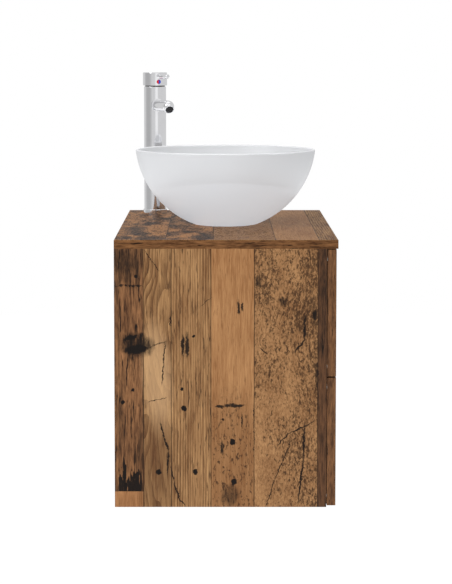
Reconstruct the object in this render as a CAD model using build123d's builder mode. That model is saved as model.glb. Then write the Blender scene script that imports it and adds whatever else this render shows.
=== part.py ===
"""Wall-hung bathroom vanity with a round vessel basin, a tall single-lever mixer and two drawers.

Frame: millimetres, +Z up, origin on the floor plane under the middle of the cabinet.
The drawers open towards -Y and the back edge, at +Y, stands against the wall.
"""

import os
from math import cos, radians, sin, sqrt, tan

from build123d import *

os.makedirs("parts", exist_ok=True)

# ---------------------------------------------------------------- driving dimensions
# Cabinet
WIDTH = 600
DEPTH = 385
CABINET_HEIGHT = 465
BOARD = 15
FRONT_OVERHANG = 3  # countertop past the drawer fronts
FRONT_GAP = 1  # drawer fronts stand this far off the carcass, on bumpers
RAIL_HEIGHT_UPPER = 100
RAIL_HEIGHT_LOWER = 80

# Drawer fronts
FRONT_BOTTOM = 3  # lower front above the underside of the carcass
FRONT_SPLIT = 226.4  # top of the lower front
FRONT_SPLIT_GAP = 2.4
FRONT_TOP_GAP = 1.5
NOTCH_WIDTH = 130
NOTCH_DEPTH = 26
NOTCH_RADIUS = 18

# Drawer boxes
BOX_BOARD = 12
BOX_LENGTH = 300
BASE_SHEET = 5
BASE_RISE = 10  # groove for the base sheet, above the lower edge of the sides
GROOVE_DEPTH = 6
GROOVE_PLAY = 0.2
UPPER_BOX_BOTTOM = 262
UPPER_BOX_HEIGHT = 120
LOWER_BOX_BOTTOM = 30
LOWER_BOX_HEIGHT = 170
TRAP_BAY_HALF_WIDTH = 75
TRAP_BAY_FRONT = -65

# Ball-bearing runners, three nested rails of bent sheet
RUNNER_SPACE = 13
RUNNER_LENGTH = 300
RUNNER_FRONT_SETBACK = 2
SHEET = 1.2
UPPER_RUNNER_Z = 306
LOWER_RUNNER_Z = 92

# Basin: a spherical shell with a flat foot
BASIN_RADIUS = 168
BASIN_HEIGHT = 140
BASIN_CENTRE_HEIGHT = 158  # centre of the outer sphere above the foot
BASIN_RIM = 6
BASIN_FLOOR = 12
DRAIN_HOLE_RADIUS = 22.5
SEAT_RADIUS = 33
SEAT_HEIGHT = 11.5

# Waste and bottle trap
WASTE_RADIUS = 20.9
WASTE_BORE = 18.4
WASTE_LENGTH = 70
FLANGE_RADIUS = 31
PIPE_RADIUS = 16
PIPE_WALL = 1.5
TRAP_RADIUS = 30
TRAP_WALL = 2.5
TRAP_OUTLET_DROP = 140  # outlet axis below the countertop

# Mixer tap
TAP_X = 215
TAP_Y = 138
TAP_RADIUS = 21.7
TAP_HEIGHT = 252
TAP_HOLE_RADIUS = 17.5
BASE_RING_RADIUS = 23.6
BASE_RING_HEIGHT = 10
SPOUT_TURN = 16  # degrees from -X towards -Y
SPOUT_HEIGHT = 215.8
SPOUT_RADIUS = 11
SPOUT_BEND_REACH = 104.5
NOZZLE_RADIUS = 9.4
NOZZLE_DROP_ANGLE = 34
NOZZLE_LENGTH = 11
HANDLE_TURN = 20
CAP_RADIUS = 23.75
CAP_HEIGHT = 25.5
CAP_GAP = 2
CAP_CAVITY_RADIUS = 21.3
LIFT_ANGLE = 22
LEVER_RADIUS = 4.3
LEVER_REACH = 79
LEVER_HEIGHT = 18.5  # above the underside of the cap

CLEAR = 0.05  # radial play of pieces that are pushed or screwed together

# ---------------------------------------------------------------- derived places
SIDE_OUTER_X = WIDTH / 2
SIDE_INNER_X = SIDE_OUTER_X - BOARD
BACK_Y = DEPTH / 2
FRONT_FACE_Y = -DEPTH / 2 + FRONT_OVERHANG
FRONT_BACK_Y = FRONT_FACE_Y + BOARD
CARCASS_FRONT_Y = FRONT_BACK_Y + FRONT_GAP
UNDER_TOP = CABINET_HEIGHT - BOARD
BOX_OUTER_X = SIDE_INNER_X - RUNNER_SPACE
BOX_INNER_X = BOX_OUTER_X - BOX_BOARD
BOX_BACK_Y = FRONT_BACK_Y + BOX_LENGTH

BASE = (Align.CENTER, Align.CENTER, Align.MIN)
CORNER = (Align.MIN, Align.MIN, Align.MIN)


def save(part, name):
    """Labels one sub-part and writes it as the node of that name."""
    part.label = name
    export_step(part, f"parts/{name}.step")


def block(low, high, mode=Mode.ADD):
    """A box from its lowest to its highest corner, in the active part."""
    size = [b - a for a, b in zip(low, high)]
    with Locations(low):
        Box(*size, align=CORNER, mode=mode)


def post(radius, bottom, top, at=(0, 0), mode=Mode.ADD):
    """An upright cylinder between two heights, in the active part."""
    with Locations((at[0], at[1], bottom)):
        Cylinder(radius, top - bottom, align=BASE, mode=mode)


# ---------------------------------------------------------------- knock-down fittings
CAM_RADIUS = 7.5
CAM_DEPTH = 12.5
CAM_DISTANCE = 34
BOLT_BORE = 4
BOLT_RADIUS = 2.5
BOLT_BITE = 10
DOWEL_RADIUS = 4
DOWEL_INTO_SIDE = 10
DOWEL_INTO_MEMBER = 20
CAM_RECESS = 0.5  # the cam lies this far below the face of the board
CAM_PLAY = 0.1
CAM_MOUTH = (9, 8, 9)  # opening for the head of the bolt
CAM_MOUTH_OFFSET = 4  # from the cam's centre towards the joint
SCREWDRIVER_SLOT = (3, 1.6, 10)
COLLAR_THICKNESS = 2
COLLAR_PLAY = 0.3
HEAD_OFFSET = 5  # start of the bolt's head, from the cam's centre
HEAD_THICKNESS = 3
HEAD_PLAY = 0.5
CAM_PLACES = (-120, 120)  # along the depth of the cabinet
DOWEL_PLACES = (-150, 90)
UPPER_RAIL_SPREAD = 22  # cam and dowel, off the middle of the rail
LOWER_RAIL_SPREAD = 18


def joint_plane(point, into, face):
    """A frame on a board joint: +Z runs into the member, +X points to the face that the cam opens on."""
    return Plane(origin=point, x_dir=face, z_dir=into)


def side_joints(y_places, z_places, face):
    """Frames where a member between the side panels meets both of them."""
    return [
        joint_plane((side * SIDE_INNER_X, y, z), (-side, 0, 0), face)
        for side in (-1, 1)
        for y in y_places
        for z in z_places
    ]


def top_joints(y_places):
    """Frames where the top edges of the side panels meet the countertop."""
    x = SIDE_INNER_X + BOARD / 2
    return [
        joint_plane((side * x, y, UNDER_TOP), (0, 0, -1), (-side, 0, 0))
        for side in (-1, 1)
        for y in y_places
    ]


UPPER_RAIL_Z = UNDER_TOP - RAIL_HEIGHT_UPPER / 2
LOWER_RAIL_Z = BOARD + RAIL_HEIGHT_LOWER / 2
RAIL_Y = BACK_Y - BOARD / 2
BOTTOM_CAMS = side_joints(CAM_PLACES, (BOARD / 2,), (0, 0, -1))
BOTTOM_DOWELS = side_joints(DOWEL_PLACES, (BOARD / 2,), (0, 0, -1))
UPPER_RAIL_CAMS = side_joints((RAIL_Y,), (UPPER_RAIL_Z - UPPER_RAIL_SPREAD,), (0, 1, 0))
UPPER_RAIL_DOWELS = side_joints((RAIL_Y,), (UPPER_RAIL_Z + UPPER_RAIL_SPREAD,), (0, 1, 0))
LOWER_RAIL_CAMS = side_joints((RAIL_Y,), (LOWER_RAIL_Z - LOWER_RAIL_SPREAD,), (0, 1, 0))
LOWER_RAIL_DOWELS = side_joints((RAIL_Y,), (LOWER_RAIL_Z + LOWER_RAIL_SPREAD,), (0, 1, 0))
TOP_CAMS = top_joints(CAM_PLACES)
TOP_DOWELS = top_joints(DOWEL_PLACES)
SIDE_MEMBER_CAMS = BOTTOM_CAMS + UPPER_RAIL_CAMS + LOWER_RAIL_CAMS
SIDE_MEMBER_DOWELS = BOTTOM_DOWELS + UPPER_RAIL_DOWELS + LOWER_RAIL_DOWELS


def drill_member(cams, dowels, board=BOARD):
    """Cuts the cam pockets, bolt bores and dowel holes of a member."""
    for plane in cams:
        with Locations(plane):
            Cylinder(BOLT_BORE, CAM_DISTANCE, align=BASE, mode=Mode.SUBTRACT)
            with Locations((board / 2 - CAM_DEPTH / 2, 0, CAM_DISTANCE)):
                Cylinder(CAM_RADIUS, CAM_DEPTH, rotation=(0, 90, 0), mode=Mode.SUBTRACT)
    for plane in dowels:
        with Locations(plane):
            Cylinder(DOWEL_RADIUS, DOWEL_INTO_MEMBER, align=BASE, mode=Mode.SUBTRACT)


def drill_seat(cams, dowels):
    """Cuts the blind holes in the board that a member is fixed to."""
    up = (Align.CENTER, Align.CENTER, Align.MAX)
    for plane in cams:
        with Locations(plane):
            Cylinder(BOLT_RADIUS, BOLT_BITE, align=up, mode=Mode.SUBTRACT)
    for plane in dowels:
        with Locations(plane):
            Cylinder(DOWEL_RADIUS, DOWEL_INTO_SIDE, align=up, mode=Mode.SUBTRACT)


def cam_discs(cams, board=BOARD):
    """Cam discs with the slot that takes the head of the bolt."""
    thickness = CAM_DEPTH - CAM_RECESS
    centre = board / 2 - thickness / 2
    for plane in cams:
        with Locations(plane):
            with Locations((centre, 0, CAM_DISTANCE)):
                Cylinder(CAM_RADIUS - CAM_PLAY, thickness, rotation=(0, 90, 0))
    for plane in cams:
        with Locations(plane):
            with Locations((0, 0, CAM_DISTANCE - CAM_MOUTH_OFFSET)):
                Box(*CAM_MOUTH, mode=Mode.SUBTRACT)
            with Locations((board / 2, 0, CAM_DISTANCE)):
                Box(*SCREWDRIVER_SLOT, mode=Mode.SUBTRACT)


def cam_bolts(cams):
    """Bolts screwed into the seat board, their heads inside the cams."""
    for plane in cams:
        with Locations(plane):
            with Locations((0, 0, -BOLT_BITE)):
                shank = BOLT_BITE + CAM_DISTANCE - CAM_MOUTH_OFFSET
                Cylinder(BOLT_RADIUS - CLEAR, shank, align=BASE)
            Cylinder(BOLT_BORE - COLLAR_PLAY, COLLAR_THICKNESS, align=BASE)
            with Locations((0, 0, CAM_DISTANCE - HEAD_OFFSET)):
                Cylinder(BOLT_BORE - HEAD_PLAY, HEAD_THICKNESS, align=BASE)


# ---------------------------------------------------------------- carcass boards
TOP_EDGE_CHAMFER = 0.4

with BuildPart() as countertop:
    block((-SIDE_OUTER_X, -DEPTH / 2, UNDER_TOP), (SIDE_OUTER_X, BACK_Y, CABINET_HEIGHT))
    chamfer(countertop.edges().group_by(Axis.Z)[-1], TOP_EDGE_CHAMFER)
    post(DRAIN_HOLE_RADIUS, UNDER_TOP, CABINET_HEIGHT, mode=Mode.SUBTRACT)
    post(TAP_HOLE_RADIUS, UNDER_TOP, CABINET_HEIGHT, (TAP_X, TAP_Y), Mode.SUBTRACT)
    drill_seat(TOP_CAMS, TOP_DOWELS)
save(countertop.part, "countertop")

for side, name in ((-1, "side_panel_left"), (1, "side_panel_right")):
    near, far = sorted((side * SIDE_INNER_X, side * SIDE_OUTER_X))
    with BuildPart() as side_panel:
        block((near, CARCASS_FRONT_Y, 0), (far, BACK_Y, UNDER_TOP))
        drill_member(TOP_CAMS, TOP_DOWELS)
        drill_seat(SIDE_MEMBER_CAMS, SIDE_MEMBER_DOWELS)
    save(side_panel.part, name)

with BuildPart() as bottom_panel:
    block((-SIDE_INNER_X, CARCASS_FRONT_Y, 0), (SIDE_INNER_X, BACK_Y, BOARD))
    drill_member(BOTTOM_CAMS, BOTTOM_DOWELS)
save(bottom_panel.part, "bottom_panel")

# The two rails close the back at top and bottom and carry the four wall screws.
WALL_HOLE_RADIUS = 4
WALL_HOLE_X = 220
WALL_PLATE = (50, 60, 2)
WALL_PLATE_CORNER = 6
WALL_HOLE_Z = (LOWER_RAIL_Z, UPPER_RAIL_Z)


def wall_holes(z):
    """The two screw holes of one rail, right through it along Y."""
    for x in (-WALL_HOLE_X, WALL_HOLE_X):
        with Locations((x, RAIL_Y, z)):
            Cylinder(WALL_HOLE_RADIUS, 3 * BOARD, rotation=(90, 0, 0), mode=Mode.SUBTRACT)


with BuildPart() as back_rails:
    upper_low = (-SIDE_INNER_X, BACK_Y - BOARD, UNDER_TOP - RAIL_HEIGHT_UPPER)
    block(upper_low, (SIDE_INNER_X, BACK_Y, UNDER_TOP))
    lower_low = (-SIDE_INNER_X, BACK_Y - BOARD, BOARD)
    block(lower_low, (SIDE_INNER_X, BACK_Y, BOARD + RAIL_HEIGHT_LOWER))
    drill_member(UPPER_RAIL_CAMS + LOWER_RAIL_CAMS, UPPER_RAIL_DOWELS + LOWER_RAIL_DOWELS)
    for z in WALL_HOLE_Z:
        wall_holes(z)
save(back_rails.part, "back_rails")

with BuildPart() as wall_plates:
    plate_y = BACK_Y - BOARD - WALL_PLATE[2] / 2
    for x in (-WALL_HOLE_X, WALL_HOLE_X):
        for z in WALL_HOLE_Z:
            with Locations((x, plate_y, z)):
                Box(WALL_PLATE[0], WALL_PLATE[2], WALL_PLATE[1])
    fillet(wall_plates.edges().filter_by(Axis.Y), WALL_PLATE_CORNER)
    for z in WALL_HOLE_Z:
        wall_holes(z)
save(wall_plates.part, "wall_plates")

with BuildPart() as cam_locks:
    cam_discs(SIDE_MEMBER_CAMS + TOP_CAMS)
save(cam_locks.part, "cam_locks")

with BuildPart() as cam_lock_bolts:
    cam_bolts(SIDE_MEMBER_CAMS + TOP_CAMS)
save(cam_lock_bolts.part, "cam_lock_bolts")

with BuildPart() as dowels:
    for plane in SIDE_MEMBER_DOWELS + TOP_DOWELS:
        with Locations(plane):
            with Locations((0, 0, -DOWEL_INTO_SIDE)):
                Cylinder(DOWEL_RADIUS, DOWEL_INTO_SIDE + DOWEL_INTO_MEMBER, align=BASE)
save(dowels.part, "dowels")

BUMPER_HEIGHTS = (20, 210, 246, 432)
BUMPER_RADIUS = 5
with BuildPart() as bumpers:
    for x in (-SIDE_OUTER_X + BOARD / 2, SIDE_OUTER_X - BOARD / 2):
        for z in BUMPER_HEIGHTS:
            with Locations((x, CARCASS_FRONT_Y - FRONT_GAP / 2, z)):
                Cylinder(BUMPER_RADIUS, FRONT_GAP, rotation=(90, 0, 0))
save(bumpers.part, "bumpers")


# ---------------------------------------------------------------- drawers
# Each rail: half its height, then the web and the ends of its flanges as offsets from the side panel.
OUTER_RAIL = (22.5, 0, (0, 9))
MIDDLE_RAIL = (20, 5, (2.4, 10.4))
INNER_RAIL = (15, RUNNER_SPACE - SHEET, (9.4, RUNNER_SPACE))
LOWER_CAM_RISE = 36  # cam heights in the drawer sides
UPPER_CAM_DROP = 18


def runner_rail(z, half_height, web, flange_ends):
    """Both rails of one runner stage: a web and two flanges, as offsets from the side panels."""
    y = CARCASS_FRONT_Y + RUNNER_FRONT_SETBACK
    for side in (-1, 1):

        def at(offset):
            return side * (SIDE_INNER_X - offset)

        x_web = sorted((at(web), at(web + SHEET)))
        x_flange = sorted((at(flange_ends[0]), at(flange_ends[1])))
        block((x_web[0], y, z - half_height), (x_web[1], y + RUNNER_LENGTH, z + half_height))
        for edge in (-half_height, half_height - SHEET):
            flange_low = (x_flange[0], y, z + edge)
            block(flange_low, (x_flange[1], y + RUNNER_LENGTH, z + edge + SHEET))


with BuildPart() as runner_outer_rails:
    for z in (UPPER_RUNNER_Z, LOWER_RUNNER_Z):
        runner_rail(z, *OUTER_RAIL)
save(runner_outer_rails.part, "runner_outer_rails")

for z, name in ((UPPER_RUNNER_Z, "upper"), (LOWER_RUNNER_Z, "lower")):
    with BuildPart() as middle_rails:
        runner_rail(z, *MIDDLE_RAIL)
    save(middle_rails.part, f"{name}_runner_middle_rails")
    with BuildPart() as inner_rails:
        runner_rail(z, *INNER_RAIL)
    save(inner_rails.part, f"{name}_runner_inner_rails")


def base_sheet_levels(box_bottom):
    """Underside and top of the base sheet."""
    return box_bottom + BASE_RISE, box_bottom + BASE_RISE + BASE_SHEET


def drawer_cams(box_bottom, box_height):
    """Frames where the drawer sides meet the back of the front panel."""
    x = BOX_INNER_X + BOX_BOARD / 2
    return [
        joint_plane((side * x, FRONT_BACK_Y, z), (0, 1, 0), (-side, 0, 0))
        for side in (-1, 1)
        for z in (box_bottom + LOWER_CAM_RISE, box_bottom + box_height - UPPER_CAM_DROP)
    ]


def drawer_front(front, bottom, top, box_bottom, box_height):
    """A front panel with a finger notch in its top edge and a groove for the base sheet."""
    block((-SIDE_OUTER_X, FRONT_FACE_Y, bottom), (SIDE_OUTER_X, FRONT_BACK_Y, top))
    notch_low = (-NOTCH_WIDTH / 2, FRONT_FACE_Y, top - NOTCH_DEPTH)
    block(notch_low, (NOTCH_WIDTH / 2, FRONT_BACK_Y, top), Mode.SUBTRACT)
    crosswise = front.edges().filter_by(Axis.Y)
    notch_z = top - NOTCH_DEPTH
    corners = crosswise.filter_by_position(Axis.Z, notch_z - CLEAR, notch_z + CLEAR)
    fillet(corners, NOTCH_RADIUS)
    under, over = base_sheet_levels(box_bottom)
    groove_x = BOX_INNER_X + GROOVE_DEPTH
    groove_low = (-groove_x, FRONT_BACK_Y - GROOVE_DEPTH, under - GROOVE_PLAY)
    block(groove_low, (groove_x, FRONT_BACK_Y, over + GROOVE_PLAY), Mode.SUBTRACT)
    drill_seat(drawer_cams(box_bottom, box_height), [])


def drawer_sides(box_bottom, box_height):
    """The two sides, grooved for the base sheet and bored for the cam fittings."""
    under, over = base_sheet_levels(box_bottom)
    for side in (-1, 1):
        near, far = sorted((side * BOX_INNER_X, side * BOX_OUTER_X))
        block((near, FRONT_BACK_Y, box_bottom), (far, BOX_BACK_Y, box_bottom + box_height))
        groove = sorted((side * BOX_INNER_X, side * (BOX_INNER_X + GROOVE_DEPTH)))
        groove_low = (groove[0], FRONT_BACK_Y, under - GROOVE_PLAY)
        block(groove_low, (groove[1], BOX_BACK_Y, over + GROOVE_PLAY), Mode.SUBTRACT)
    drill_member(drawer_cams(box_bottom, box_height), [], BOX_BOARD)


def base_sheet(box_bottom):
    """The base sheet, its edges in the grooves of the front and the sides."""
    under, over = base_sheet_levels(box_bottom)
    half = BOX_INNER_X + GROOVE_DEPTH - GROOVE_PLAY
    block((-half, FRONT_BACK_Y - GROOVE_DEPTH + GROOVE_PLAY, under), (half, BOX_BACK_Y, over))


def drawer_fittings(box_bottom, box_height):
    """Cam discs and bolts that hold the front panel on the sides."""
    cams = drawer_cams(box_bottom, box_height)
    cam_discs(cams, BOX_BOARD)
    cam_bolts(cams)


UPPER_FRONT_BOTTOM = FRONT_SPLIT + FRONT_SPLIT_GAP
UPPER_FRONT_TOP = UNDER_TOP - FRONT_TOP_GAP
with BuildPart() as upper_drawer_front:
    upper_levels = (UPPER_FRONT_BOTTOM, UPPER_FRONT_TOP, UPPER_BOX_BOTTOM, UPPER_BOX_HEIGHT)
    drawer_front(upper_drawer_front, *upper_levels)
save(upper_drawer_front.part, "upper_drawer_front")

with BuildPart() as lower_drawer_front:
    lower_levels = (FRONT_BOTTOM, FRONT_SPLIT, LOWER_BOX_BOTTOM, LOWER_BOX_HEIGHT)
    drawer_front(lower_drawer_front, *lower_levels)
save(lower_drawer_front.part, "lower_drawer_front")

with BuildPart() as upper_drawer_sides:
    drawer_sides(UPPER_BOX_BOTTOM, UPPER_BOX_HEIGHT)
save(upper_drawer_sides.part, "upper_drawer_sides")

with BuildPart() as lower_drawer_sides:
    drawer_sides(LOWER_BOX_BOTTOM, LOWER_BOX_HEIGHT)
save(lower_drawer_sides.part, "lower_drawer_sides")

with BuildPart() as upper_drawer_fittings:
    drawer_fittings(UPPER_BOX_BOTTOM, UPPER_BOX_HEIGHT)
save(upper_drawer_fittings.part, "upper_drawer_fittings")

with BuildPart() as lower_drawer_fittings:
    drawer_fittings(LOWER_BOX_BOTTOM, LOWER_BOX_HEIGHT)
save(lower_drawer_fittings.part, "lower_drawer_fittings")

with BuildPart() as lower_drawer_base:
    base_sheet(LOWER_BOX_BOTTOM)
save(lower_drawer_base.part, "lower_drawer_base")

with BuildPart() as lower_drawer_back:
    sheet_top = base_sheet_levels(LOWER_BOX_BOTTOM)[1]
    lower_back_low = (-BOX_INNER_X, BOX_BACK_Y - BOX_BOARD, sheet_top)
    block(lower_back_low, (BOX_INNER_X, BOX_BACK_Y, LOWER_BOX_BOTTOM + LOWER_BOX_HEIGHT))
save(lower_drawer_back.part, "lower_drawer_back")

# The upper drawer is cut out around the trap, and a moulded guard lines the bay.
GUARD_WALL = 4
GUARD_CORNER = 20
BAY_WALL_X = TRAP_BAY_HALF_WIDTH + GUARD_WALL
UPPER_BOX_TOP = UPPER_BOX_BOTTOM + UPPER_BOX_HEIGHT
UPPER_SHEET_TOP = base_sheet_levels(UPPER_BOX_BOTTOM)[1]


def bay_outline(z, spread):
    """Plan of the bay with its rounded front corners, at one height, grown by a margin."""
    half = TRAP_BAY_HALF_WIDTH + spread
    front = TRAP_BAY_FRONT - spread
    with BuildSketch(Plane.XY.offset(z)) as outline:
        with Locations((0, (front + BOX_BACK_Y) / 2)):
            Rectangle(2 * half, BOX_BACK_Y - front)
        fillet(outline.vertices().group_by(Axis.Y)[0], GUARD_CORNER + spread)
    return outline.sketch


with BuildPart() as upper_drawer_base:
    base_sheet(UPPER_BOX_BOTTOM)
    sheet_bottom = base_sheet_levels(UPPER_BOX_BOTTOM)[0]
    extrude(bay_outline(sheet_bottom, 0), amount=BASE_SHEET, mode=Mode.SUBTRACT)
save(upper_drawer_base.part, "upper_drawer_base")

with BuildPart() as trap_guard:
    guard_height = UPPER_BOX_TOP - UPPER_SHEET_TOP
    extrude(bay_outline(UPPER_SHEET_TOP, GUARD_WALL), amount=guard_height)
    extrude(bay_outline(UPPER_SHEET_TOP, 0), amount=guard_height, mode=Mode.SUBTRACT)
save(trap_guard.part, "upper_drawer_trap_guard")

with BuildPart() as upper_drawer_backs:
    for side in (-1, 1):
        near, far = sorted((side * BAY_WALL_X, side * BOX_INNER_X))
        back_low = (near, BOX_BACK_Y - BOX_BOARD, UPPER_SHEET_TOP)
        block(back_low, (far, BOX_BACK_Y, UPPER_BOX_TOP))
save(upper_drawer_backs.part, "upper_drawer_backs")

# ---------------------------------------------------------------- basin
ON_TOP = Plane.XY.offset(CABINET_HEIGHT)  # heights from here on are above the countertop
BASIN_AXIS_PLANE = Plane.XZ.shift_origin((0, 0, CABINET_HEIGHT))


def sphere_radius_at(radius, centre, height):
    """Radius of a sphere's section at one height."""
    return sqrt(radius**2 - (height - centre) ** 2)


rim_outer = sphere_radius_at(BASIN_RADIUS, BASIN_CENTRE_HEIGHT, BASIN_HEIGHT)
foot_radius = sphere_radius_at(BASIN_RADIUS, BASIN_CENTRE_HEIGHT, 0)
rim_inner = rim_outer - BASIN_RIM
# The inner sphere passes through the inner edge of the rim and BASIN_FLOOR above the foot.
inner_rise = BASIN_HEIGHT - BASIN_FLOOR
inner_radius = (rim_inner**2 + inner_rise**2) / (2 * inner_rise)
inner_centre = BASIN_FLOOR + inner_radius
seat_edge = inner_centre - sqrt(inner_radius**2 - SEAT_RADIUS**2)
RIM_ROUND = 2.5
SECTION_MIDDLE = 60  # height of the third point of both arcs
FOOT_CHAMFER = 1


def on_arc(radius, centre, height):
    """A point of the basin's section on a sphere, at one height."""
    return (sphere_radius_at(radius, centre, height), height)


with BuildPart() as basin:
    with BuildSketch(BASIN_AXIS_PLANE):
        with BuildLine():
            foot = (foot_radius, 0)
            outer_edge = (rim_outer, BASIN_HEIGHT - RIM_ROUND)
            outer_mid = on_arc(BASIN_RADIUS, BASIN_CENTRE_HEIGHT, SECTION_MIDDLE)
            inner_edge = (rim_inner, BASIN_HEIGHT - RIM_ROUND)
            inner_mid = on_arc(inner_radius, inner_centre, SECTION_MIDDLE)
            seat_top = (SEAT_RADIUS, seat_edge)
            Line((DRAIN_HOLE_RADIUS, 0), foot)
            ThreePointArc(foot, outer_mid, outer_edge)
            rim_top = ((rim_outer + rim_inner) / 2, BASIN_HEIGHT)
            ThreePointArc(outer_edge, rim_top, inner_edge)
            ThreePointArc(inner_edge, inner_mid, seat_top)
            Polyline(
                seat_top,
                (SEAT_RADIUS, SEAT_HEIGHT),
                (DRAIN_HOLE_RADIUS, SEAT_HEIGHT),
                (DRAIN_HOLE_RADIUS, 0),
            )
        make_face()
    revolve(axis=Axis.Z)
    chamfer(basin.edges().group_by(Axis.Z)[0].sort_by(SortBy.RADIUS)[-1], FOOT_CHAMFER)
save(basin.part, "basin")

# ---------------------------------------------------------------- waste with click plug
SEAL = 1
FLANGE_THICKNESS = 2.5
FLANGE_ROUND = 1.2
flange_bottom = SEAT_HEIGHT + SEAL
flange_top = flange_bottom + FLANGE_THICKNESS
SPIDER = (-8, 0)
SPIDER_TURNS = (0, 60, 120)
SPIDER_ARM = 2.5
SPIDER_BITE = 0.5  # each end of an arm runs this far into the wall
SPIDER_BOSS_RADIUS = 8
CARTRIDGE_RADIUS = 5
PLUG_STEM_RADIUS = 3
PLUG_PLAY = 0.08

with BuildPart(ON_TOP) as waste_body:
    post(FLANGE_RADIUS, flange_bottom, flange_top)
    fillet(waste_body.edges().group_by(Axis.Z)[-1], FLANGE_ROUND)
    post(WASTE_RADIUS, -WASTE_LENGTH, flange_bottom)
    post(WASTE_BORE, -WASTE_LENGTH, flange_top, mode=Mode.SUBTRACT)
    arm_length = 2 * (WASTE_BORE + SPIDER_BITE)
    for angle in SPIDER_TURNS:
        with Locations(Location((0, 0, SPIDER[0]), (0, 0, angle))):
            Box(arm_length, SPIDER_ARM, SPIDER[1] - SPIDER[0], align=BASE)
    post(SPIDER_BOSS_RADIUS, *SPIDER)
    post(CARTRIDGE_RADIUS, *SPIDER, mode=Mode.SUBTRACT)
save(waste_body.part, "waste_body")

WASHER = 3
WASHER_RADIUS = 32
SEAL_INSET = 1
with BuildPart(ON_TOP) as waste_seals:
    post(FLANGE_RADIUS - SEAL_INSET, SEAT_HEIGHT, flange_bottom)
    post(WASHER_RADIUS, -BOARD - WASHER, -BOARD)
    post(WASTE_RADIUS + CLEAR, -BOARD - WASHER, flange_bottom, mode=Mode.SUBTRACT)
save(waste_seals.part, "waste_seals")

CLICK_BOTTOM = -32
CLICK_TOP = 2
CLICK_FLOOR = 2
with BuildPart(ON_TOP) as click_cartridge:
    post(CARTRIDGE_RADIUS, CLICK_BOTTOM, CLICK_TOP)
    stem_hole = PLUG_STEM_RADIUS + PLUG_PLAY
    post(stem_hole, CLICK_BOTTOM + CLICK_FLOOR, CLICK_TOP, mode=Mode.SUBTRACT)
save(click_cartridge.part, "click_cartridge")

PLUG_RADIUS = 29
PLUG_THICKNESS = 5
PLUG_ROUND = 3.5
PLUG_STEM_END = -20
PLUG_SEAL = 0.8
PLUG_SEAL_RADIUS = 25
PLUG_SEAL_INSET = 1  # the seal stops this far outside the bore
plug_bottom = flange_top + PLUG_SEAL
with BuildPart(ON_TOP) as waste_plug:
    post(PLUG_RADIUS, plug_bottom, plug_bottom + PLUG_THICKNESS)
    fillet(waste_plug.edges().group_by(Axis.Z)[-1], PLUG_ROUND)
    post(PLUG_STEM_RADIUS, PLUG_STEM_END, plug_bottom)
save(waste_plug.part, "waste_plug")

with BuildPart(ON_TOP) as plug_seal:
    post(PLUG_SEAL_RADIUS, flange_top, plug_bottom)
    post(WASTE_BORE + PLUG_SEAL_INSET, flange_top, plug_bottom, mode=Mode.SUBTRACT)
save(plug_seal.part, "plug_seal")

NUT_HEIGHT = 10
NUT_CORNER_RADIUS = 31
with BuildPart() as waste_backnut:
    with BuildSketch(ON_TOP.offset(-BOARD - WASHER - NUT_HEIGHT)):
        RegularPolygon(NUT_CORNER_RADIUS, 6)
        Circle(WASTE_RADIUS + CLEAR, mode=Mode.SUBTRACT)
    extrude(amount=NUT_HEIGHT)
save(waste_backnut.part, "waste_backnut")

# ---------------------------------------------------------------- bottle trap
TRAP_TOP = -95
TRAP_BOTTOM = -190
DIP_TUBE_END = -172
CUP_BOTTOM = -215
INLET_TOP = -56
COLLAR_BOTTOM = -64  # the dip tube's collar fits in the waste body
STUB_RADIUS = 19
STUB_END = 58
STUB_RISE = 14
STUB_ROOT = 2
TRAP_ROUND = 6
TRAP_ROOF = 4
INLET_BORE_DEPTH = 10
CUP_FLOOR = 4
CUP_HEIGHT = 30
CUP_FLOOR_RADIUS = 32
CUP_RADIUS = 34.5
CUP_RIBS = 20
NUT_OUTER = 25
RIB_RADIUS = 1.5
INLET_NUT_HEIGHT = 10
OUTLET_NUT_HEIGHT = 12
WASTE_NUT_HEIGHT = 18
WASTE_NUT_RADIUS = 27
outlet_z = CABINET_HEIGHT - TRAP_OUTLET_DROP
OUTLET_PLANE = Plane(origin=(0, 0, outlet_z), x_dir=(1, 0, 0), z_dir=(0, 1, 0))  # local Z runs to the wall


def grip_nut(plane, height, bore, radius=NUT_OUTER, ribs=12):
    """A round hand nut with grip ribs, standing on a plane."""
    with BuildSketch(plane) as outline:
        Circle(radius - RIB_RADIUS)
        with PolarLocations(radius - RIB_RADIUS, ribs):
            Circle(RIB_RADIUS)
        Circle(bore, mode=Mode.SUBTRACT)
    extrude(outline.sketch, amount=height)


with BuildPart(ON_TOP) as trap_inlet_pipe:
    post(PIPE_RADIUS, DIP_TUBE_END, INLET_TOP)
    post(WASTE_BORE - CLEAR, COLLAR_BOTTOM, INLET_TOP)
    post(PIPE_RADIUS - PIPE_WALL, DIP_TUBE_END, INLET_TOP, mode=Mode.SUBTRACT)
save(trap_inlet_pipe.part, "trap_inlet_pipe")

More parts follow.
